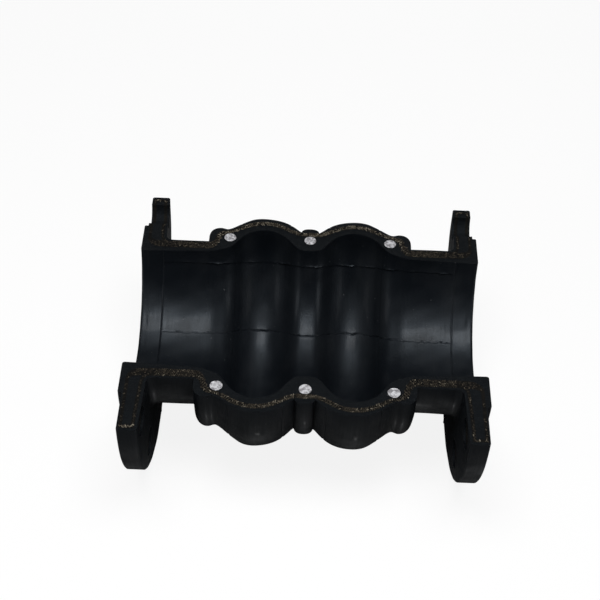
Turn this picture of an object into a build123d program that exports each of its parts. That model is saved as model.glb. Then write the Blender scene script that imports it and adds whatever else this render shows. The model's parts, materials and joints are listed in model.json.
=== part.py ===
"""Twin-arch rubber expansion joint with full-face rubber flanges, sawn lengthwise through its axis.

The lower half of the joint lies below the cut plane z = 0. The bore runs along X and the origin is the
middle of the joint on the bore's axis. Every piece is a profile in (distance from the middle, radius),
turned half a turn about the X axis. The wall is built in layers: inner tube, fabric carcass, outer cover,
with a solid steel ring in each valley. Each arch is divided into an outer flank, a crown and an inner
flank, where it flexes.
"""

import os
from math import cos, radians, sin

from build123d import *

# Driving dimensions, in millimetres
face_to_face = 225.0
bore_radius = 50.6
neck_bore_radius = 52.4
neck_radius = 62.3

flange_radius = 105.0
flange_thickness = 13.4
flange_back_taper = 1.4
raised_face_radius = 75.5
raised_face_height = 2.5
bore_edge_radius = 1.5
face_bevel = 0.6
rim_bevel = 0.9

# Bolt holes, as angles below the cut plane from the near edge; the last is sawn in half
bolt_circle_radius = 87.5
bolt_hole_radius = 9.5
bolt_hole_angles = (8, 45, 90, 135, 180)

skin_thickness = 1.0
back_cover_thickness = 1.6
rim_cover_thickness = 2.0
flange_ply_thickness = 2.2
neck_ply_inner_radius = 55.0
neck_ply_outer_radius = 61.0

# Where the neck's layers turn out into the flange, as (distance from the middle, radius)
front_turn_start = 98.0
front_turn_middle = (106.0, 57.4)
front_turn_radius = 64.0
ply_back_turn_start = 92.8
ply_back_turn_radius = 66.0
cover_back_turn_start = 91.4
cover_back_turn_radius = 67.0
core_tip = (99.4, 61.2)
core_front_radius = 65.0

ring_circle_radius = 67.0
ring_bar_radius = 4.0
root_ring_place = 53.9

arch_crown_place = 28.2
arch_crown_radius = 87.0
waist_bead_radius = 78.5
root_bead_radius = 76.1
root_valley_radius = 75.0

# Where the wall is divided, as distances from the middle
waist_edge = 6.0
inner_flank_edge = 16.6
outer_flank_edge = 38.9
arch_edge = 49.5
bead_valley_place = 56.2
bead_crown_place = 60.6
bead_edge = 68.0

# Radii of the four wall surfaces where the arch meets the waist and the root
waist_radii = {"bore": 57.3, "ply_inside": 71.0, "ply_outside": 74.3, "cover": 75.0}
root_radii = {"bore": 62.5, "ply_inside": 73.2, "ply_outside": 76.7, "cover": 78.8}

# Slopes of those surfaces at the same two places, and their radii in the middle of the waist
waist_slopes = {"bore": 0.45, "ply_inside": 0.25, "ply_outside": 0.35, "cover": 0.55}
root_slopes = {"bore": -1.45, "ply_inside": -0.55, "ply_outside": -0.65, "cover": -0.85}
waist_middle_radii = {"bore": 56.6, "ply_inside": 71.3, "ply_outside": 74.8}

# The four surfaces over the arch, and over the root ring to the neck, as (distance from the middle, radius)
arch_points = {
    "bore": [(10.2, 61.0), (15.5, 68.2), (21.0, 72.8), (29.0, 75.4), (37.5, 74.0), (44.5, 69.4)],
    "ply_inside": [(12.5, 73.6), (20.0, 78.0), (28.8, 80.5), (38.0, 79.2), (45.0, 75.9)],
    "ply_outside": [(12.0, 77.0), (19.5, 81.5), (28.6, 84.0), (38.3, 82.8), (45.5, 79.5)],
    "cover": [(8.8, 77.4), (16.5, 83.6), (arch_crown_place, arch_crown_radius), (38.5, 85.9), (45.0, 82.0)],
}
root_points = {
    "bore": [(54.5, 57.0), (60.0, 54.6), (bead_edge, neck_bore_radius)],
    "ply_inside": [(54.0, 71.4), (58.4, 69.4), (60.6, 64.0), (63.2, 57.6), (bead_edge, neck_ply_inner_radius)],
    "ply_outside": [(54.5, 73.9), (60.0, 72.6), (63.6, 67.5), (bead_edge, neck_ply_outer_radius)],
    "cover": [(52.6, 76.4), (bead_valley_place, root_valley_radius), (bead_crown_place, root_bead_radius)],
}

# Control points of the beads' rounded shoulders, as (distance from the middle, radius)
root_shoulder = [(64.4, root_bead_radius), (67.9, 73.6), (bead_edge, 66.8)]
waist_shoulder = [
    (0, waist_bead_radius),
    (3.5, waist_bead_radius),
    (5.6, 77.4),
    (waist_edge, waist_radii["cover"]),
]

# Distances that follow from the dimensions above
half_length = face_to_face / 2
flange_front = half_length - raised_face_height
flange_back = flange_front - flange_thickness
window_radius = 200.0

# Profiles are drawn in (X, radius) on the cut plane and turned down through the lower half
section = Plane(origin=(0, 0, 0), x_dir=(1, 0, 0), z_dir=(0, 0, -1))
sides = {"left": -1, "right": 1}


def mirrored(side, points):
    """Points of the right half of the profile, placed on the given side."""
    return [(side * place, radius) for place, radius in points]


def arch_curve(side, surface):
    """One wall surface over an arch, from the waist's edge to the arch's outer edge."""
    points = [(waist_edge, waist_radii[surface])]
    points += arch_points[surface]
    points += [(arch_edge, root_radii[surface])]
    return Spline(
        *mirrored(side, points),
        tangents=[(side, waist_slopes[surface]), (side, root_slopes[surface])],
    )


def root_curve(side, surface):
    """One wall surface from the arch's outer edge, over the root ring and down to the neck."""
    end_slopes = {"bore": -0.1, "ply_inside": 0, "ply_outside": -0.2, "cover": 0}
    return Spline(
        *mirrored(side, [(arch_edge, root_radii[surface]), *root_points[surface]]),
        tangents=[(side, root_slopes[surface]), (side, end_slopes[surface])],
    )


def back_face_radius_to_x(radius):
    """X distance of the flange's back face, which slopes towards the rim."""
    slope = flange_back_taper / (flange_radius - neck_radius)
    return flange_back + slope * (radius - neck_radius)


def save(piece, name):
    """Label a finished piece and write it."""
    piece.part.label = name
    export_step(piece.part, f"parts/{name}.step")


def build_arch_layer(side_name, zone, layer):
    """One layer of one zone of an arch: the layer's whole profile, cut to the zone's window."""
    side = sides[side_name]
    layers = {
        "tube": ("bore", "ply_inside"),
        "carcass": ("ply_inside", "ply_outside"),
        "cover": ("ply_outside", "cover"),
    }
    zones = {
        "inner_flank": (waist_edge, inner_flank_edge),
        "crown": (inner_flank_edge, outer_flank_edge),
        "outer_flank": (outer_flank_edge, arch_edge),
    }
    start, end = zones[zone]
    with BuildPart() as arch_layer:
        with BuildSketch(section):
            with BuildLine():
                lower = arch_curve(side, layers[layer][0])
                upper = arch_curve(side, layers[layer][1])
                Line(lower @ 0, upper @ 0)
                Line(lower @ 1, upper @ 1)
            make_face()
            with Locations((side * (start + end) / 2, 0)):
                Rectangle(end - start, window_radius, mode=Mode.INTERSECT)
        revolve(axis=Axis.X, revolution_arc=180)
    save(arch_layer, f"{side_name}_{zone}_{layer}")


def cut_bolt_holes(side):
    """Bolt holes through the flange, inside the piece being built."""
    centres = [
        (-bolt_circle_radius * cos(radians(angle)), -bolt_circle_radius * sin(radians(angle)))
        for angle in bolt_hole_angles
    ]
    with BuildSketch(Plane.YZ.offset(side * (flange_back - flange_thickness))) as bolt_holes:
        with Locations(*centres):
            Circle(bolt_hole_radius)
    extrude(bolt_holes.sketch, amount=side * 3 * flange_thickness, mode=Mode.SUBTRACT)


def build_inner_tube(side_name):
    """Bore lining that turns out over the flange: raised sealing face and thin front skin."""
    side = sides[side_name]
    skin_back = flange_front - skin_thickness
    with BuildPart() as inner_tube:
        with BuildSketch(section):
            with BuildLine():
                bore = root_curve(side, "bore")
                outside = root_curve(side, "ply_inside")
                Line(bore @ 0, outside @ 0)
                Line(bore @ 1, (side * (half_length - bore_edge_radius), bore_radius))
                RadiusArc(
                    (side * (half_length - bore_edge_radius), bore_radius),
                    (side * half_length, bore_radius + bore_edge_radius),
                    -side * bore_edge_radius,
                )
                Polyline(
                    (side * half_length, bore_radius + bore_edge_radius),
                    (side * half_length, raised_face_radius - face_bevel),
                    (side * (half_length - face_bevel), raised_face_radius),
                    (side * flange_front, raised_face_radius),
                    (side * flange_front, flange_radius - rim_bevel),
                    (side * skin_back, flange_radius),
                    (side * skin_back, front_turn_radius),
                )
                front_turn = Spline(
                    (side * skin_back, front_turn_radius),
                    (side * front_turn_middle[0], front_turn_middle[1]),
                    (side * front_turn_start, neck_ply_inner_radius),
                    tangents=[(0, -1), (-side, 0)],
                )
                Line(front_turn @ 1, outside @ 1)
            make_face()
            with Locations((side * root_ring_place, ring_circle_radius)):
                Circle(ring_bar_radius, mode=Mode.SUBTRACT)
        revolve(axis=Axis.X, revolution_arc=180)
        cut_bolt_holes(side)
    save(inner_tube, f"{side_name}_inner_tube")


def flange_core_outline(side):
    """Lines round the rubber wedge between the flange's two fabric bands."""
    core_front = flange_front - skin_thickness - flange_ply_thickness
    core_offset = back_cover_thickness + flange_ply_thickness
    core_top = flange_radius - rim_cover_thickness - flange_ply_thickness
    corners = Polyline(
        (side * core_tip[0], core_tip[1]),
        (side * (back_face_radius_to_x(cover_back_turn_radius) + core_offset), cover_back_turn_radius),
        (side * (back_face_radius_to_x(core_top) + core_offset), core_top),
        (side * core_front, core_top),
        (side * core_front, core_front_radius),
    )
    Spline(corners @ 1, corners @ 0, tangents=[(0, -1), (-side, -0.15)])


def build_flange_core(side_name):
    """Solid rubber filler ring of the flange."""
    side = sides[side_name]
    with BuildPart() as flange_core:
        with BuildSketch(section):
            with BuildLine():
                flange_core_outline(side)
            make_face()
        revolve(axis=Axis.X, revolution_arc=180)
        cut_bolt_holes(side)
    save(flange_core, f"{side_name}_flange_core")


def build_carcass(side_name):
    """Fabric plies: over the root ring, along the neck, and round the flange core as two bands."""
    side = sides[side_name]
    skin_back = flange_front - skin_thickness
    wrap_radius = flange_radius - rim_cover_thickness
    ply_back = back_cover_thickness
    with BuildPart() as carcass:
        with BuildSketch(section):
            with BuildLine():
                inside = root_curve(side, "ply_inside")
                outside = root_curve(side, "ply_outside")
                Line(inside @ 0, outside @ 0)
                front_turn = Spline(
                    (side * front_turn_start, neck_ply_inner_radius),
                    (side * front_turn_middle[0], front_turn_middle[1]),
                    (side * skin_back, front_turn_radius),
                    tangents=[(side, 0), (0, 1)],
                )
                Line(inside @ 1, front_turn @ 0)
                wrap = Polyline(
                    front_turn @ 1,
                    (side * skin_back, wrap_radius),
                    (side * (back_face_radius_to_x(wrap_radius) + ply_back), wrap_radius),
                    (side * (back_face_radius_to_x(ply_back_turn_radius) + ply_back), ply_back_turn_radius),
                )
                back_turn = Spline(
                    wrap @ 1,
                    (side * ply_back_turn_start, neck_ply_outer_radius),
                    tangents=[(0, -1), (-side, 0)],
                )
                Line(back_turn @ 1, outside @ 1)
            make_face()
            with BuildLine():
                flange_core_outline(side)
            make_face(mode=Mode.SUBTRACT)
        revolve(axis=Axis.X, revolution_arc=180)
        cut_bolt_holes(side)
    save(carcass, f"{side_name}_carcass")


def build_outer_cover(side_name):
    """Outer rubber skin from the flange's rim, down its back face and along the neck to the root bead."""
    side = sides[side_name]
    skin_back = flange_front - skin_thickness
    wrap_radius = flange_radius - rim_cover_thickness
    ply_back = back_cover_thickness
    with BuildPart() as outer_cover:
        with BuildSketch(section):
            with BuildLine():
                ply_turn = Spline(
                    (side * ply_back_turn_start, neck_ply_outer_radius),
                    (side * (back_face_radius_to_x(ply_back_turn_radius) + ply_back), ply_back_turn_radius),
                    tangents=[(side, 0), (0, 1)],
                )
                outside = Polyline(
                    ply_turn @ 1,
                    (side * (back_face_radius_to_x(wrap_radius) + ply_back), wrap_radius),
                    (side * skin_back, wrap_radius),
                    (side * skin_back, flange_radius),
                    (side * (back_face_radius_to_x(flange_radius) + rim_bevel), flange_radius),
                    (side * back_face_radius_to_x(flange_radius - rim_bevel), flange_radius - rim_bevel),
                    (side * back_face_radius_to_x(cover_back_turn_radius), cover_back_turn_radius),
                )
                skin_turn = Spline(
                    outside @ 1,
                    (side * cover_back_turn_start, neck_radius),
                    tangents=[(0, -1), (-side, 0)],
                )
                Polyline(
                    skin_turn @ 1,
                    (side * bead_edge, neck_radius),
                    (side * bead_edge, neck_ply_outer_radius),
                    ply_turn @ 0,
                )
            make_face()
        revolve(axis=Axis.X, revolution_arc=180)
        cut_bolt_holes(side)
    save(outer_cover, f"{side_name}_outer_cover")


def build_root_bead(side_name):
    """Thick rubber band over the root ring, steep on its neck side."""
    side = sides[side_name]
    with BuildPart() as root_bead:
        with BuildSketch(section):
            with BuildLine():
                inside = root_curve(side, "ply_outside")
                outside = root_curve(side, "cover")
                shoulder = Bezier(outside @ 1, *mirrored(side, root_shoulder))
                Line(inside @ 0, outside @ 0)
                Line(inside @ 1, shoulder @ 1)
            make_face()
        revolve(axis=Axis.X, revolution_arc=180)
    save(root_bead, f"{side_name}_root_bead")


def build_ring(name, place):
    """Solid round steel bar ring, sawn in half with the joint."""
    with BuildPart() as ring:
        with BuildSketch(section):
            with Locations((place, ring_circle_radius)):
                Circle(ring_bar_radius)
        revolve(axis=Axis.X, revolution_arc=180)
    save(ring, name)


def waist_curve(surface):
    """One wall surface across the waist, level in the middle, meeting both arches at their own slope."""
    slope = waist_slopes[surface]
    return Spline(
        (-waist_edge, waist_radii[surface]),
        (0, waist_middle_radii[surface]),
        (waist_edge, waist_radii[surface]),
        tangents=[(1, -slope), (1, slope)],
    )


def build_waist_tube():
    """Inner tube across the waist, with the waist ring bedded in it."""
    with BuildPart() as waist_tube:
        with BuildSketch(section):
            with BuildLine():
                lower = waist_curve("bore")
                upper = waist_curve("ply_inside")
                Line(lower @ 0, upper @ 0)
                Line(lower @ 1, upper @ 1)
            make_face()
            with Locations((0, ring_circle_radius)):
                Circle(ring_bar_radius, mode=Mode.SUBTRACT)
        revolve(axis=Axis.X, revolution_arc=180)
    save(waist_tube, "waist_tube")


def build_waist_carcass():
    """Fabric plies over the waist ring."""
    with BuildPart() as waist_carcass:
        with BuildSketch(section):
            with BuildLine():
                lower = waist_curve("ply_inside")
                upper = waist_curve("ply_outside")
                Line(lower @ 0, upper @ 0)
                Line(lower @ 1, upper @ 1)
            make_face()
        revolve(axis=Axis.X, revolution_arc=180)
    save(waist_carcass, "waist_carcass")


def build_waist_bead():
    """Round-shouldered rubber band over the waist ring."""
    with BuildPart() as waist_bead:
        with BuildSketch(section):
            with BuildLine():
                waist_curve("ply_outside")
                for side in sides.values():
                    shoulder = Bezier(*mirrored(side, waist_shoulder))
                    Line(shoulder @ 1, (side * waist_edge, waist_radii["ply_outside"]))
            make_face()
        revolve(axis=Axis.X, revolution_arc=180)
    save(waist_bead, "waist_bead")


os.makedirs("parts", exist_ok=True)

for end_name in sides:
    build_inner_tube(end_name)
    build_flange_core(end_name)
    build_carcass(end_name)
    build_outer_cover(end_name)
    build_root_bead(end_name)
    build_ring(f"{end_name}_root_ring", sides[end_name] * root_ring_place)
    for zone_name in ("outer_flank", "crown", "inner_flank"):
        for layer_name in ("tube", "carcass", "cover"):
            build_arch_layer(end_name, zone_name, layer_name)

build_waist_tube()
build_waist_carcass()
build_waist_bead()
build_ring("waist_ring", 0)
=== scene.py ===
"""Looks of a sectioned twin-arch rubber expansion joint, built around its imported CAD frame.

Every visible piece is turned from the outline that its CAD node leaves on the cut plane z = 0, so the
frame gives all sizes and places. Outlines are in millimetres, as (x along the bore, radius), and meshes
are in metres. An angle of 0 is the near edge of the cut face, a quarter turn is the bottom and half a
turn the far edge.
"""

import json
import math
import random
from collections import Counter, defaultdict, namedtuple

import bmesh
import bpy
import numpy as np
from mathutils import Matrix, Vector, geometry, noise


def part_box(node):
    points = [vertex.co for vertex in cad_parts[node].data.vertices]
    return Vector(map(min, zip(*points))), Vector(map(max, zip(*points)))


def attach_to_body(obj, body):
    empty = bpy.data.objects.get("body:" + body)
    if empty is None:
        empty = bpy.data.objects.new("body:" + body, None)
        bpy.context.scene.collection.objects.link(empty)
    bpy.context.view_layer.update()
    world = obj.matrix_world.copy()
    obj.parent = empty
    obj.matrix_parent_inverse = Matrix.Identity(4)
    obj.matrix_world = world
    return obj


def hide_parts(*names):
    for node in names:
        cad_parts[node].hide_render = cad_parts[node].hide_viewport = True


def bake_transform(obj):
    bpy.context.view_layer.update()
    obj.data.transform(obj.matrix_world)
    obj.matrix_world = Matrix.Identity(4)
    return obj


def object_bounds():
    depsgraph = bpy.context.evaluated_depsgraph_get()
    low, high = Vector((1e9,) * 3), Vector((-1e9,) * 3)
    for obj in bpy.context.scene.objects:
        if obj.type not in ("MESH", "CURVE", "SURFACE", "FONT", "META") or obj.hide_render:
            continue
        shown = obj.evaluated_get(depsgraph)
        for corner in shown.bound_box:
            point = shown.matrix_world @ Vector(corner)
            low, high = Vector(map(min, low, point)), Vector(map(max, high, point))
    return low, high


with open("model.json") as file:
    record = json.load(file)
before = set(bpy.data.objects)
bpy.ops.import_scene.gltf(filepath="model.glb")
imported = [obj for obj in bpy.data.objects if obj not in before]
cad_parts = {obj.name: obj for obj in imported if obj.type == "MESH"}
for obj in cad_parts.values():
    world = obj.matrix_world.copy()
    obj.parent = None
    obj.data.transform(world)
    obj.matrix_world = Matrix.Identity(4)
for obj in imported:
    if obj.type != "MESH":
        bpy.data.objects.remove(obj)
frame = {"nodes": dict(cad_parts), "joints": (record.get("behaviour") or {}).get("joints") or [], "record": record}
cad_box = [list(corner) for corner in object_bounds()]

MM = 0.001
HALF_TURN = math.pi
SIDES = ("left", "right")

# Sizes read from the frame, in millimetres
mounts = {mount["name"]: mount for mount in frame["record"]["mounts"]}
bolt_hole = mounts["left_bottom_bolt_hole"]
BOLT_CIRCLE_RADIUS = -bolt_hole["pos_m"][2] / MM
BOLT_HOLE_RADIUS = bolt_hole["dims"]["r_mm"]
BOLT_HOLE_DEGREES = (8, 45, 90, 135, 180)
FACE_X = mounts["right_sealing_face"]["pos_m"][0] / MM
FLANGE_RADIUS = -cad_box[0][2] / MM

# Zones of the profile, as distances from the middle and radii, in millimetres
VALLEY_END_X = 50.5
NECK_START_X = 58.0
ARCH_CORD_X = 62.0
FLANGE_CORD_X = 92.0
FLANGE_PIECE_X = 100.0
BACK_PLY_X = FACE_X - 8.0
DRILL_X = FACE_X - 8.0
DRILL_LENGTH = 30.0
FACE_SKIN_X = FACE_X - 5.0
FOLD_RADIUS = FLANGE_RADIUS - 5.0

# Mesh density, in millimetres and degrees
CUT_TOLERANCE = 1e-3
EXPOSED_STEP = 0.9
HIDDEN_STEP = 2.0
LOOP_STEP = 0.8
COLUMN_STEP_DEGREES = 1.3
FINE_ROW_OFFSETS = (-0.9, -0.5, -0.2, 0.05, 0.3, 0.6, 1.0)
FINE_COLUMN_OFFSETS = np.array([-2.2, -1.3, -0.7, -0.35, 0.0, 0.35, 0.7, 1.3, 2.2])
CLOSEST_ROWS = 0.12
CORNER_EASE = 0.4
CORNER_TURN = math.radians(32)
CREASE_TURN = math.radians(38)
SKIN_GAP = 0.25

# Sawn faces: distance between loose points, and height of the relief, in millimetres
FABRIC_FACE = {"cap_step": 0.9, "cap_relief": 0.3}
RUBBER_FACE = {"cap_step": 1.5, "cap_relief": 0.12}
STEEL_FACE = {"cap_step": 0.45, "cap_relief": 0.16}

# Cords of the fabric plies, in millimetres and radians
CORD_PITCH = 1.3
CORD_LEAN = 0.85
CORD_HALF_HEIGHT = (0.28, 0.42)

# Looks of the cords in each zone: how their tones are spread on either sawn face, and limits of their sizes
CordLook = namedtuple("CordLook", "near_tone far_tone half_length half_width")
CORD_LOOKS = {
    "arch": CordLook((1.8, 2.6), (2.2, 1.9), (0.8, 1.0), (0.24, 0.34)),
    "fold": CordLook((2.4, 1.5), (1.3, 2.6), (0.8, 1.0), (0.25, 0.48)),
    "neck": CordLook((1.0, 3.0), (1.0, 3.0), (0.4, 0.95), (0.25, 0.48)),
    "flange": CordLook((0.9, 4.6), (0.9, 4.6), (0.4, 0.95), (0.25, 0.48)),
}

# Rings, in millimetres
RING_CLEARANCE = 0.12

# Brightness of the room and floor, where 1 is white
ROOM_LIGHT = 0.03
FLOOR_GLOW = 0.87

# Marks that the mould leaves on the rubber, in millimetres
END_LINE_X = 98.0
END_LINE_DEPTH = 0.32
LINE_WIDTH = 0.4
OUTER_LINES_X = (12.8, 46.9)
OUTER_LINE_DEPTH = 0.3
FLASH_WIDTH = 0.5
CRACK_WIDTH = 0.38
PARTING_WIDTH = 0.45
CORE_JOINTS = ((math.radians(50.8), 22.3), (math.radians(52.0), -23.7))


# ---------------------------------------------------------------- outlines from the frame


def cut_edges(node):
    """Boundary edges of a CAD node's cut face on its near side, as pairs of (x, radius) points."""
    mesh = frame["nodes"][node].data
    mesh.calc_loop_triangles()
    places = np.array([vertex.co for vertex in mesh.vertices]) / MM
    spots = places[np.array([triangle.vertices for triangle in mesh.loop_triangles])]
    on_cut = (np.abs(spots[:, :, 2]) < CUT_TOLERANCE).all(1) & (spots[:, :, 1].mean(1) < 0)
    uses = Counter()
    for triangle in spots[on_cut]:
        points = [(round(float(x), 3), round(float(-y), 3)) for x, y, _ in triangle]
        for start, end in zip(points, points[1:] + points[:1]):
            uses[frozenset((start, end))] += 1
    return [tuple(edge) for edge, count in uses.items() if count == 1 and len(edge) == 2]


def chain_loops(edges):
    """Closed loops of points from loose edges."""
    neighbours = defaultdict(list)
    for start, end in edges:
        neighbours[start].append(end)
        neighbours[end].append(start)
    loops, seen = [], set()
    for first in neighbours:
        if first in seen:
            continue
        loop, here, before = [], first, None
        while here not in seen:
            seen.add(here)
            loop.append(here)
            following = [point for point in neighbours[here] if point != before]
            before, here = here, following[0]
        loops.append(np.array(loop))
    return sorted(loops, key=lambda loop: -abs(loop_area(loop)))


def loop_area(loop):
    """Signed area of a closed loop, positive when it runs anticlockwise."""
    following = np.roll(loop, -1, axis=0)
    return 0.5 * float((loop[:, 0] * following[:, 1] - following[:, 0] * loop[:, 1]).sum())


def cut_outlines(node):
    """Outlines of a CAD node's section: the outer loop anticlockwise, then any inner loops clockwise."""
    outer, *inner = chain_loops(cut_edges(node))
    outer = outer if loop_area(outer) > 0 else outer[::-1]
    return [outer, *(loop if loop_area(loop) < 0 else loop[::-1] for loop in inner)]


def distance_to_loops(points, loops):
    """Shortest distance from each point to the edges of some closed loops."""
    starts = np.concatenate(loops)
    ends = np.concatenate([np.roll(loop, -1, axis=0) for loop in loops])
    along = ends - starts
    length = np.maximum((along**2).sum(1), 1e-12)
    offset = points[:, None] - starts[None]
    share = np.clip((offset * along).sum(2) / length, 0, 1)
    return np.linalg.norm(offset - share[:, :, None] * along, axis=2).min(1)


def inside_loops(points, loops):
    """Whether each point lies inside an odd number of loops."""
    inside = np.zeros(len(points), bool)
    for loop in loops:
        for (x0, y0), (x1, y1) in zip(loop, np.roll(loop, -1, axis=0)):
            if y0 != y1:
                crosses = (points[:, 1] < max(y0, y1)) & (points[:, 1] >= min(y0, y1))
                inside ^= crosses & (points[:, 0] < x0 + (points[:, 1] - y0) * (x1 - x0) / (y1 - y0))
    return inside


outlines = {node: cut_outlines(node) for node in frame["nodes"]}


# ---------------------------------------------------------------- outlines made fine and smooth


def run_tangents(run):
    """Unit direction of a smooth curve at each point of a run, straight where a long edge meets it."""
    edges = np.diff(run, axis=0)
    length = np.linalg.norm(edges, axis=1)
    unit = edges / length[:, None]
    tangents = np.empty_like(run)
    tangents[1:-1] = edges[:-1] + edges[1:]
    tangents[1:-1] /= np.linalg.norm(tangents[1:-1], axis=1)[:, None]
    for end, chord, inner in ((0, 0, 1), (-1, -1, -2)):
        if len(run) == 2:
            tangents[end] = unit[chord]
        else:
            tangents[end] = 2 * (tangents[inner] @ unit[chord]) * unit[chord] - tangents[inner]
    return tangents


def smooth_points(run, places):
    """Points at given distances along a run, on a smooth curve through the run's points."""
    steps = np.linalg.norm(np.diff(run, axis=0), axis=1)
    marks = np.concatenate([[0], np.cumsum(steps)])
    slopes = run_tangents(run)
    index = np.clip(np.searchsorted(marks, places, side="right") - 1, 0, len(run) - 2)
    width = (marks[index + 1] - marks[index])[:, None]
    t = (places - marks[index])[:, None] / width
    start, end = run[index], run[index + 1]
    return (
        start * (2 * t**3 - 3 * t**2 + 1)
        + slopes[index] * width * (t**3 - 2 * t**2 + t)
        + end * (3 * t**2 - 2 * t**3)
        + slopes[index + 1] * width * (t**3 - t**2)
    )


def run_places(run, step, fine_lines):
    """Distances along a run for its new points, closer together where it passes a mould line."""
    length = float(np.linalg.norm(np.diff(run, axis=0), axis=1).sum())
    places = list(np.linspace(0, length, max(2, round(length / step) + 1)))
    trial = np.linspace(0, length, 400)
    reach = np.abs(smooth_points(run, trial)[:, 0])
    for line in fine_lines:
        crossing = np.where(np.diff(np.sign(reach - line)) != 0)[0]
        for index in crossing:
            places += [trial[index] + offset for offset in FINE_ROW_OFFSETS]
    places = np.unique(np.clip(places, 0, length))
    keep = np.concatenate([[True], np.diff(places) > CLOSEST_ROWS])
    keep[-1] = True
    return places[keep]


def corner_indexes(loop):
    """Indexes of the sharp corners of a loop."""
    before, after = loop - np.roll(loop, 1, axis=0), np.roll(loop, -1, axis=0) - loop
    turn = np.arctan2(before[:, 0] * after[:, 1] - before[:, 1] * after[:, 0], (before * after).sum(1))
    return np.where(np.abs(turn) > CORNER_TURN)[0]


def split_runs(node, loop, corners):
    """The runs of a loop between its corners, as (points, way out of the rubber, whether it is exposed)."""
    others = [other for name, loops in outlines.items() if name != node for other in loops]
    turned = np.roll(loop, -corners[0], axis=0)
    stops = list(corners - corners[0]) + [len(loop)]
    closed = np.concatenate([turned, turned[:1]])
    runs = []
    for first, last in zip(stops, stops[1:]):
        run = closed[first:last + 1]
        length = float(np.linalg.norm(np.diff(run, axis=0), axis=1).sum())
        probe = smooth_points(run, length * np.linspace(0.2, 0.8, 5))
        exposed = np.median(distance_to_loops(probe, others)) > SKIN_GAP
        lines = (END_LINE_X, *OUTER_LINES_X) if exposed else ()
        points = smooth_points(run, run_places(run, EXPOSED_STEP if exposed else HIDDEN_STEP, lines))
        along = np.gradient(points, axis=0)
        normal = np.stack([along[:, 1], -along[:, 0]], axis=1)
        normal /= np.linalg.norm(normal, axis=1)[:, None]
        runs.append((points, normal * exposed, exposed))
    return runs


def fine_loop(node, loop):
    """Fine even points along a loop and, where they are exposed, the way out of the rubber."""
    corners = corner_indexes(loop)
    if len(corners) == 0:
        closed = np.concatenate([loop, loop[:1]])
        places = run_places(closed, LOOP_STEP, ())[:-1]
        points = smooth_points(closed, places)
        return points, np.zeros_like(points)
    runs = split_runs(node, loop, corners)
    points, normals = [], []
    for index, (run, normal, shown) in enumerate(runs):
        before, previous, shown_before = runs[index - 1]
        if shown and shown_before:
            neighbours = np.linalg.norm(run[1] - run[0]), np.linalg.norm(before[-2] - run[0])
            ease = min(CORNER_EASE, *(CORNER_EASE * float(reach) for reach in neighbours))
            run = soften_corner(before, run, ease)
            normal = np.concatenate([[previous[-1], previous[-1] + normal[0]], normal])
        else:
            normal = np.concatenate([[previous[-1] + normal[0]], normal[1:]])
        points.append(run[:-1])
        normals.append(normal[:len(run) - 1])
    points, normals = np.concatenate(points), np.concatenate(normals)
    size = np.linalg.norm(normals, axis=1)
    return points, normals / np.where(size > 1e-9, size, 1)[:, None]


def soften_corner(before, run, ease):
    """A run whose first, sharp point is replaced by three points of a small round."""
    corner = run[0]
    back = before[-2] - corner
    ahead = run[1] - corner
    inward = corner + back / np.linalg.norm(back) * ease
    outward = corner + ahead / np.linalg.norm(ahead) * ease
    middle = (inward + outward + 2 * corner) / 4
    return np.concatenate([[inward, middle, outward], run[1:]])


# ---------------------------------------------------------------- surface detail


def core_joint_angles(radius):
    """Angles at which the joints of the mould's core cross a radius: two on the far side, two mirrored."""
    far = [turn + np.arccos(np.clip(offset / radius, -1, 1)) for turn, offset in CORE_JOINTS]
    return [HALF_TURN - far[1], HALF_TURN - far[0], far[0], far[1]]


def column_angles(radii):
    """Angles of the mesh columns at each radius, with close columns along the core's joints."""
    stops = core_joint_angles(radii)
    stops.insert(2, np.full_like(radii, HALF_TURN / 2))
    fences = [np.zeros_like(radii), *stops, np.full_like(radii, HALF_TURN)]
    reach = FINE_COLUMN_OFFSETS[-1] / radii
    columns = [np.zeros((len(radii), 1))]
    for index, (start, end) in enumerate(zip(fences, fences[1:])):
        last = index == len(fences) - 2
        low = start + (reach if index else 0)
        high = end - (0 if last else reach)
        count = max(2, round(math.degrees(float(np.median(high - low))) / COLUMN_STEP_DEGREES))
        share = np.linspace(0, 1, count + 1)
        span = low[:, None] + (high - low)[:, None] * share
        columns.append(span[:, 1:-1])
        if not last:
            columns.append(end[:, None] + FINE_COLUMN_OFFSETS / radii[:, None])
    columns.append(np.full((len(radii), 1), HALF_TURN))
    return np.concatenate(columns, axis=1)


def ridge(distance, width):
    """Height from 0 to 1 of a rounded ridge at a distance from its middle."""
    return np.exp(-((distance / width) ** 2))


def rise(distance, width):
    """Goes smoothly from 0 to 1 where the distance passes 0."""
    return 0.5 + 0.5 * np.tanh(distance / width)


def wander(values, seed, scale):
    """Smooth random numbers from 0 to 1 along a line."""
    flat = [noise.noise((float(value) * scale, seed, 0.37 * seed)) for value in np.ravel(values)]
    return 0.5 + 0.5 * np.clip(np.array(flat).reshape(np.shape(values)) * 1.6, -1, 1)


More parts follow.
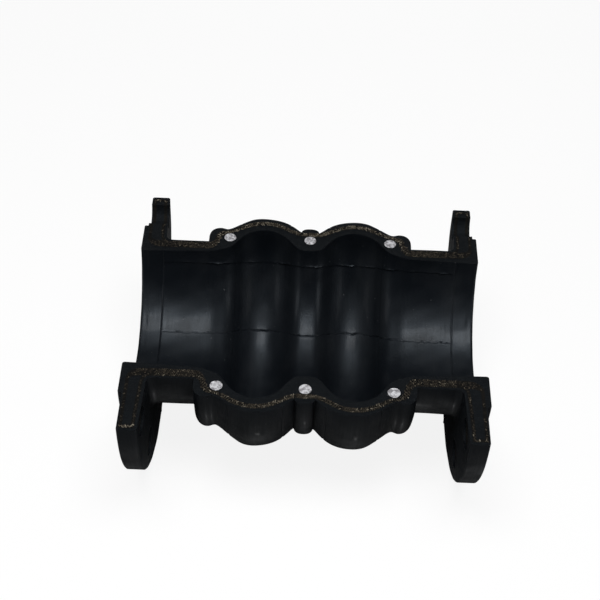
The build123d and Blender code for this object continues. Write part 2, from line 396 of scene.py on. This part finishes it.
def bore_detail(x, radius, angle, row_x):
    """Height of the marks on the bore, in millimetres: a groove near each end, and the core's joints.

    The upper joint on each side is a ragged flash and the lower one is a crack, worn faint along the necks.
    """
    reach = np.abs(x)
    height = -END_LINE_DEPTH * ridge(reach - END_LINE_X, LINE_WIDTH)
    height += 0.1 * np.tanh((reach - END_LINE_X) / 0.5)
    moulded = rise(END_LINE_X - 1.0 - reach, LINE_WIDTH)
    worn = 1 - 0.6 / (1 + np.exp((NECK_START_X - reach) / 2))
    for index, joint in enumerate(core_joint_angles(radius)):
        stray = 0.9 * (wander(row_x, 5.3 + index, 0.35)[:, None] - 0.5)
        away = (angle - joint) * radius - stray
        strength = wander(row_x, 3.1 + index, 0.09)[:, None]
        rough = wander(row_x, 7.7 + index, 0.7)[:, None]
        if index in (0, 3):
            height += moulded * ridge(away, FLASH_WIDTH) * (0.05 + 1.5 * strength**2 * rough)
            height += moulded * 0.13 * np.tanh(away / FLASH_WIDTH) * ridge(away, 3.0)
        else:
            height -= moulded * worn * ridge(away, CRACK_WIDTH) * (0.15 + 1.0 * strength * rough)
            height += moulded * worn * 0.12 * ridge(np.abs(away) - 0.8, LINE_WIDTH) * rough
    return height


def outside_detail(x, radius, angle, row_x):
    """Height of the marks on the outer skin, in millimetres: grooves round the arches, a parting line."""
    reach = np.abs(x)
    height = np.zeros_like(x)
    for line in OUTER_LINES_X:
        height -= OUTER_LINE_DEPTH * ridge(reach - line, LINE_WIDTH)
    valley = rise(reach - OUTER_LINES_X[1], 0.5) * rise(VALLEY_END_X - reach, 1.5)
    height -= 0.15 * valley
    strength = wander(row_x, 11.3, 0.12)[:, None]
    height += ridge((angle - HALF_TURN / 2) * radius, PARTING_WIDTH) * (0.15 + 0.35 * strength)
    return height


def waviness(x, angle, seed):
    """Slow unevenness of hand-laid rubber, in millimetres."""
    return (
        0.09 * np.sin(x / 7.3 + 3.0 * np.sin(2.3 * angle + seed))
        + 0.08 * np.sin(angle * 9.0 + x / 17.0 + seed)
        + 0.05 * np.sin(angle * 23.0 - x / 5.1 + 2 * seed)
    )


def push_out(x, radius, normals, angles):
    """The x and radius of every mesh point, with the surface detail added along the outline's normals."""
    row_x = x[:, 0]
    facing_bore = normals[:, 1] < -0.25
    on_face = np.abs(row_x) > FACE_SKIN_X
    height = np.where(
        (facing_bore & ~on_face)[:, None],
        bore_detail(x, radius, angles, row_x) + waviness(x, angles, 0.4),
        np.where(
            on_face[:, None],
            0.4 * waviness(x, angles, 2.2),
            outside_detail(x, radius, angles, row_x) + waviness(x, angles, 1.3),
        ),
    )
    height *= (np.abs(normals).sum(1) > 1e-6)[:, None]
    return x + normals[:, :1] * height, radius + normals[:, 1:] * height


# ---------------------------------------------------------------- meshes


def cap_points(loops, step, random_source):
    """Scattered points inside a section, clear of its outline."""
    every = np.concatenate(loops)
    low, high = every.min(0), every.max(0)
    rows = []
    for row, height in enumerate(np.arange(low[1], high[1], step * 0.87)):
        across = np.arange(low[0] + (row % 2) * step / 2, high[0], step)
        rows.append(np.stack([across, np.full_like(across, height)], axis=1))
    points = np.concatenate(rows)
    jitter = [[random_source.uniform(-0.25, 0.25), random_source.uniform(-0.25, 0.25)] for _ in points]
    points = points + np.array(jitter) * step
    points = points[inside_loops(points, loops)]
    if len(points) == 0:
        return points
    return points[distance_to_loops(points, loops) > 0.4 * step]


def cap_triangles(loops, loose):
    """Triangles over a section. Points are the loops' points in order, then the loose ones."""
    points = [Vector(point) for loop in loops for point in loop] + [Vector(point) for point in loose]
    edges, start = [], 0
    for loop in loops:
        edges += [(start + i, start + (i + 1) % len(loop)) for i in range(len(loop))]
        start += len(loop)
    places, _, faces, sources, _, _ = geometry.delaunay_2d_cdt(points, edges, [], 0, 1e-6)
    corners = np.array([places[i][:] for face in faces for i in face]).reshape(-1, 3, 2)
    keep = inside_loops(corners.mean(1), loops)
    return [[sources[i][0] for i in face] for face, kept in zip(faces, keep) if kept]


def turned_mesh(name, node_loops, sawn_face, seed, detailed=True):
    """A closed half-turn solid from fine loops: turned skin in slot 0, the two sawn faces in slot 1."""
    random_source = random.Random(seed)
    vertices, faces, near_rows, far_rows = [], [], [], []
    near_loops, far_loops = [], []
    for points, normals in node_loops:
        angles = column_angles(points[:, 1])
        x = np.repeat(points[:, :1], angles.shape[1], axis=1)
        radius = np.repeat(points[:, 1:], angles.shape[1], axis=1)
        if detailed:
            x, radius = push_out(x, radius, normals, angles)
        rows, columns = x.shape
        base = len(vertices)
        grid = np.stack([x, -radius * np.cos(angles), -radius * np.sin(angles)], axis=2)
        grid[:, 0, 2] = grid[:, -1, 2] = 0
        vertices += grid.reshape(-1, 3).tolist()
        for row in range(rows):
            this, following = base + row * columns, base + (row + 1) % rows * columns
            faces += [
                (this + c, following + c, following + c + 1, this + c + 1) for c in range(columns - 1)
            ]
        near_rows += [base + row * columns for row in range(rows)]
        far_rows += [base + row * columns + columns - 1 for row in range(rows)]
        near_loops.append(np.stack([x[:, 0], radius[:, 0]], axis=1))
        far_loops.append(np.stack([x[:, -1], radius[:, -1]], axis=1))
    turned_faces = len(faces)
    for loops, rows, sign in ((near_loops, near_rows, -1), (far_loops, far_rows, 1)):
        loose = cap_points(loops, sawn_face["cap_step"], random_source)
        indexes = rows + list(range(len(vertices), len(vertices) + len(loose)))
        for x, radius in loose:
            lift = noise.noise((x * 0.9, sign * radius * 0.9, seed))
            lift += 0.5 * noise.noise((x * 2.3, sign * radius * 2.3, seed))
            vertices.append([x, sign * radius, sawn_face["cap_relief"] * (lift - 0.35)])
        faces += [tuple(indexes[i] for i in face) for face in cap_triangles(loops, loose)]
    mesh = bpy.data.meshes.new(name)
    mesh.from_pydata((np.array(vertices) * MM).tolist(), [], faces)
    mesh.polygons.foreach_set("material_index", [0] * turned_faces + [1] * (len(faces) - turned_faces))
    tidy_mesh(mesh)
    return mesh


def shade_smooth(mesh):
    """Smooth shading with crisp corners."""
    mesh.polygons.foreach_set("use_smooth", [True] * len(mesh.polygons))
    mesh.set_sharp_from_angle(angle=CREASE_TURN)


def tidy_mesh(mesh):
    """Merges doubled corners, turns faces outwards and shades them."""
    work = bmesh.new()
    work.from_mesh(mesh)
    bmesh.ops.remove_doubles(work, verts=work.verts, dist=1e-7)
    bmesh.ops.recalc_face_normals(work, faces=work.faces)
    work.to_mesh(mesh)
    work.free()
    shade_smooth(mesh)
    mesh.update()


def new_object(name, mesh, *materials):
    """An object in the scene with its materials."""
    piece = bpy.data.objects.new(name, mesh)
    bpy.context.scene.collection.objects.link(piece)
    for material in materials:
        piece.data.materials.append(material)
    return piece


def bolt_cutter(side):
    """Drills for one flange's bolt holes: four whole ones, and one on the far edge of the cut plane."""
    sign = -1 if side == "left" else 1
    drill_shape = {"radius1": BOLT_HOLE_RADIUS, "radius2": BOLT_HOLE_RADIUS, "depth": DRILL_LENGTH}
    work = bmesh.new()
    for degrees in BOLT_HOLE_DEGREES:
        across = -BOLT_CIRCLE_RADIUS * math.cos(math.radians(degrees))
        up = -BOLT_CIRCLE_RADIUS * math.sin(math.radians(degrees))
        place = Matrix.Translation((sign * DRILL_X, across, up))
        place @= Matrix.Rotation(HALF_TURN / 2, 4, "Y")
        bmesh.ops.create_cone(work, cap_ends=True, segments=96, matrix=place, **drill_shape)
    bmesh.ops.scale(work, vec=(MM, MM, MM), verts=work.verts)
    mesh = bpy.data.meshes.new(f"{side}_drills")
    work.to_mesh(mesh)
    work.free()
    return new_object(f"{side}_drills", mesh)


def drill(piece, cutter, wall):
    """Bore the bolt holes through a flange piece, whose material shows on their walls."""
    cutter.data.materials.clear()
    cutter.data.materials.append(wall)
    modifier = piece.modifiers.new("bolt_holes", "BOOLEAN")
    modifier.operation = "DIFFERENCE"
    modifier.solver = "EXACT"
    modifier.object = cutter
    modifier.material_mode = "TRANSFER"
    graph = bpy.context.evaluated_depsgraph_get()
    bored = bpy.data.meshes.new_from_object(piece.evaluated_get(graph))
    piece.modifiers.remove(modifier)
    piece.data = bored
    shade_smooth(bored)


# ---------------------------------------------------------------- materials


class Shader:
    """A small helper that adds nodes to a material and wires them up."""

    def __init__(self, name):
        self.material = bpy.data.materials.new(name)
        self.material.use_nodes = True
        self.nodes = self.material.node_tree.nodes
        self.links = self.material.node_tree.links
        self.principled = self.nodes["Principled BSDF"]
        self.place = self.add("ShaderNodeTexCoord").outputs["Object"]

    def add(self, kind, settings=None, **inputs):
        """A node with settings and inputs; i0, i1 and so on name inputs by their number."""
        node = self.nodes.new(kind)
        for key, value in (settings or {}).items():
            setattr(node, key, value)
        for key, value in inputs.items():
            numbered = key[0] == "i" and key[1:].isdigit()
            self.set(node.inputs[int(key[1:]) if numbered else key], value)
        return node

    def set(self, socket, value):
        """Links an output to a socket, or gives the socket a plain value."""
        if isinstance(value, bpy.types.NodeSocket):
            self.links.new(value, socket)
        else:
            socket.default_value = value

    def noise(self, scale, detail=4.0, roughness=0.55, place=None):
        node = self.add("ShaderNodeTexNoise", Scale=scale, Detail=detail, Roughness=roughness)
        self.set(node.inputs["Vector"], place or self.place)
        return node.outputs["Fac"]

    def math(self, operation, first, second=0.0):
        node = self.add("ShaderNodeMath", {"operation": operation}, i0=first, i1=second)
        return node.outputs[0]

    def range(self, value, low, high, to_low, to_high):
        node = self.add("ShaderNodeMapRange", i0=value, i1=low, i2=high, i3=to_low, i4=to_high)
        return node.outputs[0]

    def mix(self, share, first, second):
        node = self.add("ShaderNodeMix", {"data_type": "RGBA"})
        self.set(node.inputs[0], share)
        self.set(node.inputs[6], first)
        self.set(node.inputs[7], second)
        return node.outputs[2]

    def bump(self, height, distance, strength=1.0, under=None):
        node = self.add("ShaderNodeBump", Height=height, Distance=distance, Strength=strength)
        if under is not None:
            self.set(node.inputs["Normal"], under)
        return node.outputs["Normal"]

    def around(self, along_scale, around_scale):
        """Coordinates that run along the bore and round it, for streaks that follow the turning."""
        parts = self.add("ShaderNodeSeparateXYZ", Vector=self.place)
        angle = self.math("ARCTAN2", parts.outputs[2], parts.outputs[1])
        x = self.math("MULTIPLY", parts.outputs[0], along_scale)
        turn = self.math("MULTIPLY", angle, around_scale)
        return self.add("ShaderNodeCombineXYZ", X=x, Y=turn).outputs[0]

    def finish(self, **inputs):
        """The material, with its surface's inputs set. An underscore stands for a space."""
        for key, value in inputs.items():
            self.set(self.principled.inputs[key.replace("_", " ")], value)
        return self.material


# Colours, as linear red, green and blue
TUBE_BLACK, TUBE_DUST = (0.0030, 0.0041, 0.0060), (0.011, 0.0115, 0.012)
COVER_BLACK, COVER_DUST = (0.0034, 0.0045, 0.0062), (0.0135, 0.0140, 0.0148)
SAWN_BLACK, SAWN_PALE = (0.0022, 0.0029, 0.0037), (0.0135, 0.0155, 0.0175)
SPECK_GREY = (0.11, 0.115, 0.12, 1)
PLY_BLACK = (0.0026, 0.0029, 0.0032, 1)
PLY_BROWN = (0.0085, 0.0076, 0.0062, 1)
PLY_FIBRE = (0.030, 0.027, 0.021, 1)
CORD_DARK = (0.008, 0.0065, 0.0045, 1)
CORD_GOLD = (0.075, 0.062, 0.043, 1)
CORD_CREAM = (0.36, 0.32, 0.25, 1)
CORD_FRAY = (0.03, 0.024, 0.018, 1)
STEEL_BRIGHT = (0.80, 0.80, 0.83, 1)
STEEL_STAIN = (0.26, 0.25, 0.265, 1)
STEEL_SCRATCH = (0.7, 0.7, 0.72, 1)
FLOOR_GREY = (0.13, 0.13, 0.13, 1)
FLOOR_PALE = (0.15, 0.15, 0.15, 1)
WHITE = (1, 1, 1, 1)


def moulded_rubber(name, black, dust, dust_share, polish):
    """Satin moulded rubber: bluish black, with dusty bloom, streaks, pores and pale specks."""
    shader = Shader(name)
    streaks = shader.noise(1.0, 3.0, 0.6, shader.around(900.0, 2.5))
    bands = shader.noise(1.0, 2.0, 0.5, shader.around(160.0, 0.8))
    clouds = shader.noise(38.0, 5.0, 0.6)
    bloom = shader.math("MULTIPLY", shader.range(clouds, 0.45, 0.72, 0.0, 1.0), dust_share)
    bloom = shader.math("MULTIPLY", bloom, shader.range(bands, 0.4, 0.62, 0.35, 1.0))
    colour = shader.mix(bloom, (*black, 1), (*dust, 1))
    deep = [channel * 0.55 for channel in black]
    colour = shader.mix(shader.range(streaks, 0.35, 0.7, 0.0, 0.35), colour, (*deep, 1))
    specks = shader.noise(520.0, 2.0, 0.5)
    colour = shader.mix(shader.range(specks, 0.755, 0.80, 0.0, 1.0), colour, SPECK_GREY)
    pores = shader.noise(1600.0, 3.0, 0.7)
    grain = shader.noise(5200.0, 2.0, 0.5)
    roughness = shader.range(clouds, 0.3, 0.7, polish - 0.05, polish + 0.07)
    roughness = shader.math("ADD", roughness, shader.range(streaks, 0.3, 0.7, -0.04, 0.05))
    roughness = shader.math("ADD", roughness, shader.math("MULTIPLY", bloom, 0.35))
    normal = shader.bump(streaks, 0.00012, 0.35)
    normal = shader.bump(pores, 0.00010, 0.5, normal)
    normal = shader.bump(grain, 0.00004, 0.4, normal)
    return shader.finish(
        Base_Color=colour, Roughness=roughness, Normal=normal, Specular_IOR_Level=0.32,
        Specular_Tint=(0.78, 0.89, 1.0, 1), Coat_Weight=0.05, Coat_Roughness=0.16,
    )


def sawn_rubber(name, black, pale):
    """Matt sawn rubber with saw marks, torn grain and pale crumbs."""
    shader = Shader(name)
    crumbs = shader.noise(900.0, 6.0, 0.7)
    smears = shader.noise(160.0, 4.0, 0.6)
    stretched = shader.add("ShaderNodeMapping", Vector=shader.place)
    stretched.inputs["Rotation"].default_value = (0, 0, 0.2)
    stretched.inputs["Scale"].default_value = (120, 1500, 300)
    marks = shader.noise(1.0, 4.0, 0.65, stretched.outputs[0])
    crumbed = shader.range(crumbs, 0.5, 0.75, 0.0, 1.0)
    share = shader.math("MULTIPLY", crumbed, shader.range(smears, 0.38, 0.62, 0.1, 1.0))
    colour = shader.mix(share, (*black, 1), (*pale, 1))
    colour = shader.mix(shader.range(marks, 0.5, 0.7, 0.0, 0.4), colour, (*pale, 1))
    normal = shader.bump(marks, 0.0003, 0.5)
    normal = shader.bump(crumbs, 0.0004, 0.8, normal)
    return shader.finish(
        Base_Color=colour, Roughness=0.65, Normal=normal,
        Specular_IOR_Level=0.14, Specular_Tint=(0.8, 0.9, 1.0, 1),
    )


def dipped_fabric(name):
    """Rubber-soaked fabric plies, sawn across: dark with brown and cream fibres."""
    shader = Shader(name)
    fibres = shader.noise(1300.0, 5.0, 0.75)
    patches = shader.noise(220.0, 3.0, 0.6)
    patched = shader.range(patches, 0.35, 0.65, 0.0, 1.0)
    brown = shader.mix(patched, PLY_BLACK, PLY_BROWN)
    colour = shader.mix(shader.range(fibres, 0.58, 0.70, 0.0, 0.8), brown, PLY_FIBRE)
    normal = shader.bump(fibres, 0.0005, 0.8)
    return shader.finish(Base_Color=colour, Roughness=0.85, Normal=normal, Specular_IOR_Level=0.12)


def cord_thread(name):
    """Cut ends of the ply cords: golden brown to cream, by each cord's own tone."""
    shader = Shader(name)
    tone = shader.add("ShaderNodeAttribute", {"attribute_name": "tone"}).outputs["Fac"]
    fibres = shader.noise(2600.0, 3.0, 0.7)
    ramp = shader.add("ShaderNodeValToRGB", Fac=tone)
    ramp.color_ramp.elements[0].color = CORD_DARK
    ramp.color_ramp.elements[1].color = CORD_CREAM
    golden = ramp.color_ramp.elements.new(0.5)
    golden.color = CORD_GOLD
    colour = shader.mix(shader.range(fibres, 0.4, 0.7, 0.0, 0.6), ramp.outputs[0], CORD_FRAY)
    normal = shader.bump(fibres, 0.0004, 0.8)
    return shader.finish(Base_Color=colour, Roughness=0.8, Normal=normal, Specular_IOR_Level=0.25)


def sawn_steel(name):
    """Bare steel bar, sawn across: bright, scratched one way and mottled."""
    shader = Shader(name)
    stretched = shader.add("ShaderNodeMapping", Vector=shader.place)
    stretched.inputs["Rotation"].default_value = (0, 0, 0.35)
    stretched.inputs["Scale"].default_value = (400, 5000, 800)
    scratches = shader.noise(1.0, 3.0, 0.6, stretched.outputs[0])
    stains = shader.noise(420.0, 4.0, 0.6)
    stained = shader.range(stains, 0.42, 0.58, 0.0, 1.0)
    colour = shader.mix(stained, STEEL_BRIGHT, STEEL_STAIN)
    colour = shader.mix(shader.range(scratches, 0.45, 0.75, 0.0, 0.5), colour, STEEL_SCRATCH)
    normal = shader.bump(scratches, 0.0002, 0.5)
    return shader.finish(Base_Color=colour, Metallic=0.2, Roughness=0.42, Normal=normal)


def pale_floor(name):
    """Plain pale studio floor with the faintest mottling."""
    shader = Shader(name)
    mottling = shader.noise(3.0, 2.0, 0.5)
    colour = shader.mix(mottling, FLOOR_GREY, FLOOR_PALE)
    seen = shader.add("ShaderNodeLightPath").outputs["Is Camera Ray"]
    glow = shader.math("MULTIPLY", seen, FLOOR_GLOW)
    return shader.finish(Base_Color=colour, Roughness=0.9, Emission_Color=WHITE, Emission_Strength=glow)


# ---------------------------------------------------------------- pieces


looks = {
    "tube_rubber": moulded_rubber("tube_rubber", TUBE_BLACK, TUBE_DUST, 0.4, 0.46),
    "cover_rubber": moulded_rubber("cover_rubber", COVER_BLACK, COVER_DUST, 0.5, 0.45),
    "sawn": sawn_rubber("sawn_rubber", SAWN_BLACK, SAWN_PALE),
    "ply_fabric": dipped_fabric("ply_fabric"),
    "cord": cord_thread("ply_cord"),
    "ring_steel": sawn_steel("ring_steel"),
}

node_body = {node: body for body, nodes in frame["record"]["behaviour"]["bodies"].items() for node in nodes}
node_slot = {part["node"]: part["material_slot"] for part in frame["record"]["subparts"]}
flex_joint = {}
for joint in frame["joints"]:
    for entry in joint.get("deforming_nodes", []):
        flex_joint[entry["node"]] = joint


def attach(piece, node):
    """A piece moves with its CAD node's body, or, where the node flexes with a joint, keeps its place baked into
    its mesh and has no parent.
    """
    if node in flex_joint:
        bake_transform(piece)
    else:
        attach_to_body(piece, node_body[node])


def band_limits(loop, x):
    """Lowest and highest radius of a closed loop at a place along the bore."""
    following = np.roll(loop, -1, axis=0)
    crosses = (np.minimum(loop[:, 0], following[:, 0]) <= x) & (np.maximum(loop[:, 0], following[:, 0]) > x)
    start, end = loop[crosses], following[crosses]
    radii = start[:, 1] + (x - start[:, 0]) / (end[:, 0] - start[:, 0]) * (end[:, 1] - start[:, 1])
    return radii.min(), radii.max()


def woven_cords(loop):
    """Cords in slanted rows along a band of plies, as (x, radius, lean, share of them that shows)."""
    low, high = loop[:, 0].min(), loop[:, 0].max()
    if max(abs(low), abs(high)) > FLANGE_CORD_X:
        low, high = max(low, -FLANGE_CORD_X), min(high, FLANGE_CORD_X)
    cords = []
    for x in np.arange(low + 0.5, high - 0.3, CORD_PITCH):
        inner, outer = band_limits(loop, x)
        slope = (sum(band_limits(loop, min(x + 0.4, high - 0.05))) - inner - outer) / 0.8
        rows = max(2, round((outer - inner) / CORD_PITCH))
        for row in range(rows):
            radius = inner + (outer - inner) * (row + 0.5) / rows
            lean = math.atan(slope) + (CORD_LEAN if row % 2 else -CORD_LEAN)
            shift = CORD_PITCH * (row % 2) / 2
            cords.append((x + shift * (x + shift < high - 0.4), radius, lean, 0.93))
    return cords


def scattered_cords(loops, random_source):
    """Cords at odd angles in the flange's plies: dense in the rim fold and sparse in the front band."""
    cords = []
    for x, radius in cap_points(loops, CORD_PITCH, random_source):
        if abs(x) > FLANGE_CORD_X:
            share = 0.9 if radius > FOLD_RADIUS else 0.65 if abs(x) < BACK_PLY_X else 0.4
            cords.append((x, radius, random_source.uniform(0, HALF_TURN), share))
    return cords


def cord_zone(x, radius):
    """The zone of the wall in which a cord lies, which gives its look."""
    if abs(x) < ARCH_CORD_X:
        return "arch"
    if radius > FOLD_RADIUS:
        return "fold"
    return "neck" if abs(x) < FLANGE_CORD_X else "flange"


def in_sawn_hole(x, radius, sign):
    """Whether a cord would hang in the bolt hole that the cut passes through, on the far face only."""
    in_hole = abs(radius - BOLT_CIRCLE_RADIUS) < BOLT_HOLE_RADIUS + 0.8
    return sign > 0 and in_hole and abs(x) > FLANGE_CORD_X


def add_cord(work, tone_layer, middle, size, spin, tone, seeds):
    """Adds one cord end: a rough oblong lump with its own tone."""
    made = bmesh.ops.create_icosphere(work, subdivisions=2, radius=1.0)
    for vertex in made["verts"]:
        rough = 1 + 0.3 * noise.noise(Vector(vertex.co) * 2.4 + Vector(seeds))
        shape = Vector([value * scale for value, scale in zip(vertex.co, size)]) * rough
        vertex.co = (middle + spin @ shape) * MM
        vertex[tone_layer] = tone


def cord_ends(node, loops, seed):
    """Cut cord ends that stand out of a carcass's two sawn faces, as one mesh with a tone for each cord."""
    random_source = random.Random(seed)
    cords = woven_cords(loops[0]) + scattered_cords(loops, random_source)
    work = bmesh.new()
    tone_layer = work.verts.layers.float.new("tone")
    for sign in (-1, 1):
        for index, (x, radius, lean, share) in enumerate(cords):
            if random_source.random() > share or in_sawn_hole(x, radius, sign):
                continue
            look = CORD_LOOKS[cord_zone(x, radius)]
            tone = random_source.betavariate(*(look.far_tone if sign > 0 else look.near_tone))
            half_sizes = (look.half_length, look.half_width, CORD_HALF_HEIGHT)
            size = [random_source.uniform(*limits) for limits in half_sizes]
            middle = Vector((x, sign * radius, random_source.uniform(-0.1, 0.12)))
            spin = Matrix.Rotation(sign * lean + random_source.uniform(-0.25, 0.25), 3, "Z")
            add_cord(work, tone_layer, middle, size, spin, tone, (index, seed, sign))
    mesh = bpy.data.meshes.new(f"{node}_cords")
    work.to_mesh(mesh)
    work.free()
    mesh.polygons.foreach_set("use_smooth", [True] * len(mesh.polygons))
    return mesh


def build_layer(node, seed):
    """The visible piece of a rubber or fabric CAD node, and the cord ends of a carcass."""
    fabric = node_slot[node] == "ply_fabric"
    if fabric:
        ending, sawn_face, skin, face = "fabric", FABRIC_FACE, looks["ply_fabric"], looks["ply_fabric"]
    else:
        skin = looks["tube_rubber" if node_slot[node] == "tube_rubber" else "cover_rubber"]
        ending, sawn_face, face = "rubber", RUBBER_FACE, looks["sawn"]
    loops = [fine_loop(node, loop) for loop in outlines[node]]
    mesh = turned_mesh(f"{node}_mesh", loops, sawn_face, seed)
    piece = new_object(f"{node}_{ending}", mesh, skin, face)
    side = node.split("_")[0]
    if max(abs(corner.x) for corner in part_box(node)) / MM > FLANGE_PIECE_X:
        drill(piece, drills[side], face)
    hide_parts(node)
    attach(piece, node)
    if fabric:
        cord_mesh = cord_ends(node, [points for points, _ in loops], seed)
        cords = new_object(f"{node}_cord_ends", cord_mesh, looks["cord"])
        attach(cords, node)


def build_ring(node, seed):
    """A steel bar ring, a hair thinner than its bed, with scratched sawn ends standing just proud."""
    low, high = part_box(node)
    bar_radius = (high.x - low.x) / 2 / MM
    middle_x = (high.x + low.x) / 2 / MM
    circle_radius = -low.z / MM - bar_radius
    turn = np.linspace(0, 2 * HALF_TURN, 48, endpoint=False)
    ragged = bar_radius - RING_CLEARANCE
    ragged = ragged + 0.05 * np.sin(3 * turn + seed) + 0.03 * np.sin(7 * turn + 2 * seed)
    points = np.stack([middle_x + ragged * np.cos(turn), circle_radius + ragged * np.sin(turn)], axis=1)
    loop = (points, np.zeros_like(points))
    mesh = turned_mesh(f"{node}_mesh", [loop], STEEL_FACE, seed, detailed=False)
    steel = looks["ring_steel"]
    piece = new_object(f"{node}_steel", mesh, steel, steel)
    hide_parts(node)
    attach(piece, node)


drills = {side: bolt_cutter(side) for side in SIDES}
for number, node_name in enumerate(sorted(frame["nodes"])):
    if node_slot[node_name] == "ring_steel":
        build_ring(node_name, number)
    else:
        build_layer(node_name, number)
for cutter in drills.values():
    bpy.data.objects.remove(cutter)


# ---------------------------------------------------------------- studio


def build_floor():
    """A wide pale floor under the flanges' rims, which the glint from the table passes through."""
    mesh = bpy.data.meshes.new("floor")
    reach, level = 6.0, cad_box[0][2]
    corners = [(reach * x, reach * y, level) for x, y in ((-1, -1), (1, -1), (1, 1), (-1, 1))]
    mesh.from_pydata(corners, [], [(0, 1, 2, 3)])
    floor = new_object("studio_floor", mesh, pale_floor("studio_floor"))
    floor.visible_shadow = False


def soft_light(name, place, width, depth, watts, aim=(0, 0, -0.03)):
    """An oblong soft light that faces a point."""
    data = bpy.data.lights.new(name, "AREA")
    data.shape = "RECTANGLE"
    data.energy = watts
    data.size = width
    data.size_y = depth
    light = bpy.data.objects.new(name, data)
    light.location = place
    light.rotation_euler = (Vector(aim) - Vector(place)).to_track_quat("-Z", "Y").to_euler()
    bpy.context.scene.collection.objects.link(light)
    return light


def build_lights():
    """A softbox overhead, three weak fills and a glint off the table, in a dim room."""
    soft_light("overhead_softbox", (0.0, -0.30, 1.05), 0.80, 0.42, 11.2)
    soft_light("left_fill", (-1.1, -0.45, 0.16), 0.7, 0.5, 2.2)
    soft_light("right_fill", (1.1, -0.45, 0.16), 0.7, 0.5, 2.2)
    soft_light("back_fill", (0.0, 1.2, 0.10), 1.3, 0.3, 2.2)
    glint = bpy.data.lights.new("table_glint", "SUN")
    glint.energy = 0.03
    glint.angle = math.radians(3)
    glint_light = bpy.data.objects.new("table_glint", glint)
    glint_light.rotation_euler = Vector((-0.05, 0.1, 0.98)).to_track_quat("-Z", "Y").to_euler()
    bpy.context.scene.collection.objects.link(glint_light)
    world = bpy.data.worlds.new("studio_room")
    world.use_nodes = True
    nodes, links = world.node_tree.nodes, world.node_tree.links
    seen = nodes.new("ShaderNodeLightPath").outputs["Is Camera Ray"]
    strength = nodes.new("ShaderNodeMapRange")
    strength.inputs["To Min"].default_value = ROOM_LIGHT
    strength.inputs["To Max"].default_value = 1.0
    links.new(seen, strength.inputs["Value"])
    links.new(strength.outputs["Result"], nodes["Background"].inputs["Strength"])
    nodes["Background"].inputs["Color"].default_value = WHITE
    bpy.context.scene.world = world
    bpy.context.scene.view_settings.view_transform = "Standard"


def build_camera():
    """A long lens looking down at the open side, turned a little clockwise."""
    azimuth, elevation, roll = math.radians(-0.57), math.radians(44.98), math.radians(2.79)
    distance = 0.8696
    level = math.cos(elevation)
    back = Vector((math.sin(azimuth) * level, -math.cos(azimuth) * level, math.sin(elevation)))
    data = bpy.data.cameras.new("camera")
    data.sensor_width = 36.0
    data.lens = 81.6
    data.shift_x = -0.0131
    data.shift_y = 0.0181
    camera = bpy.data.objects.new("camera", data)
    camera.location = back * distance
    upright = (-back).to_track_quat("-Z", "Y").to_matrix().to_4x4()
    camera.rotation_euler = (upright @ Matrix.Rotation(roll, 4, "Z")).to_euler()
    bpy.context.scene.collection.objects.link(camera)
    bpy.context.scene.camera = camera


build_floor()
build_lights()
build_camera()
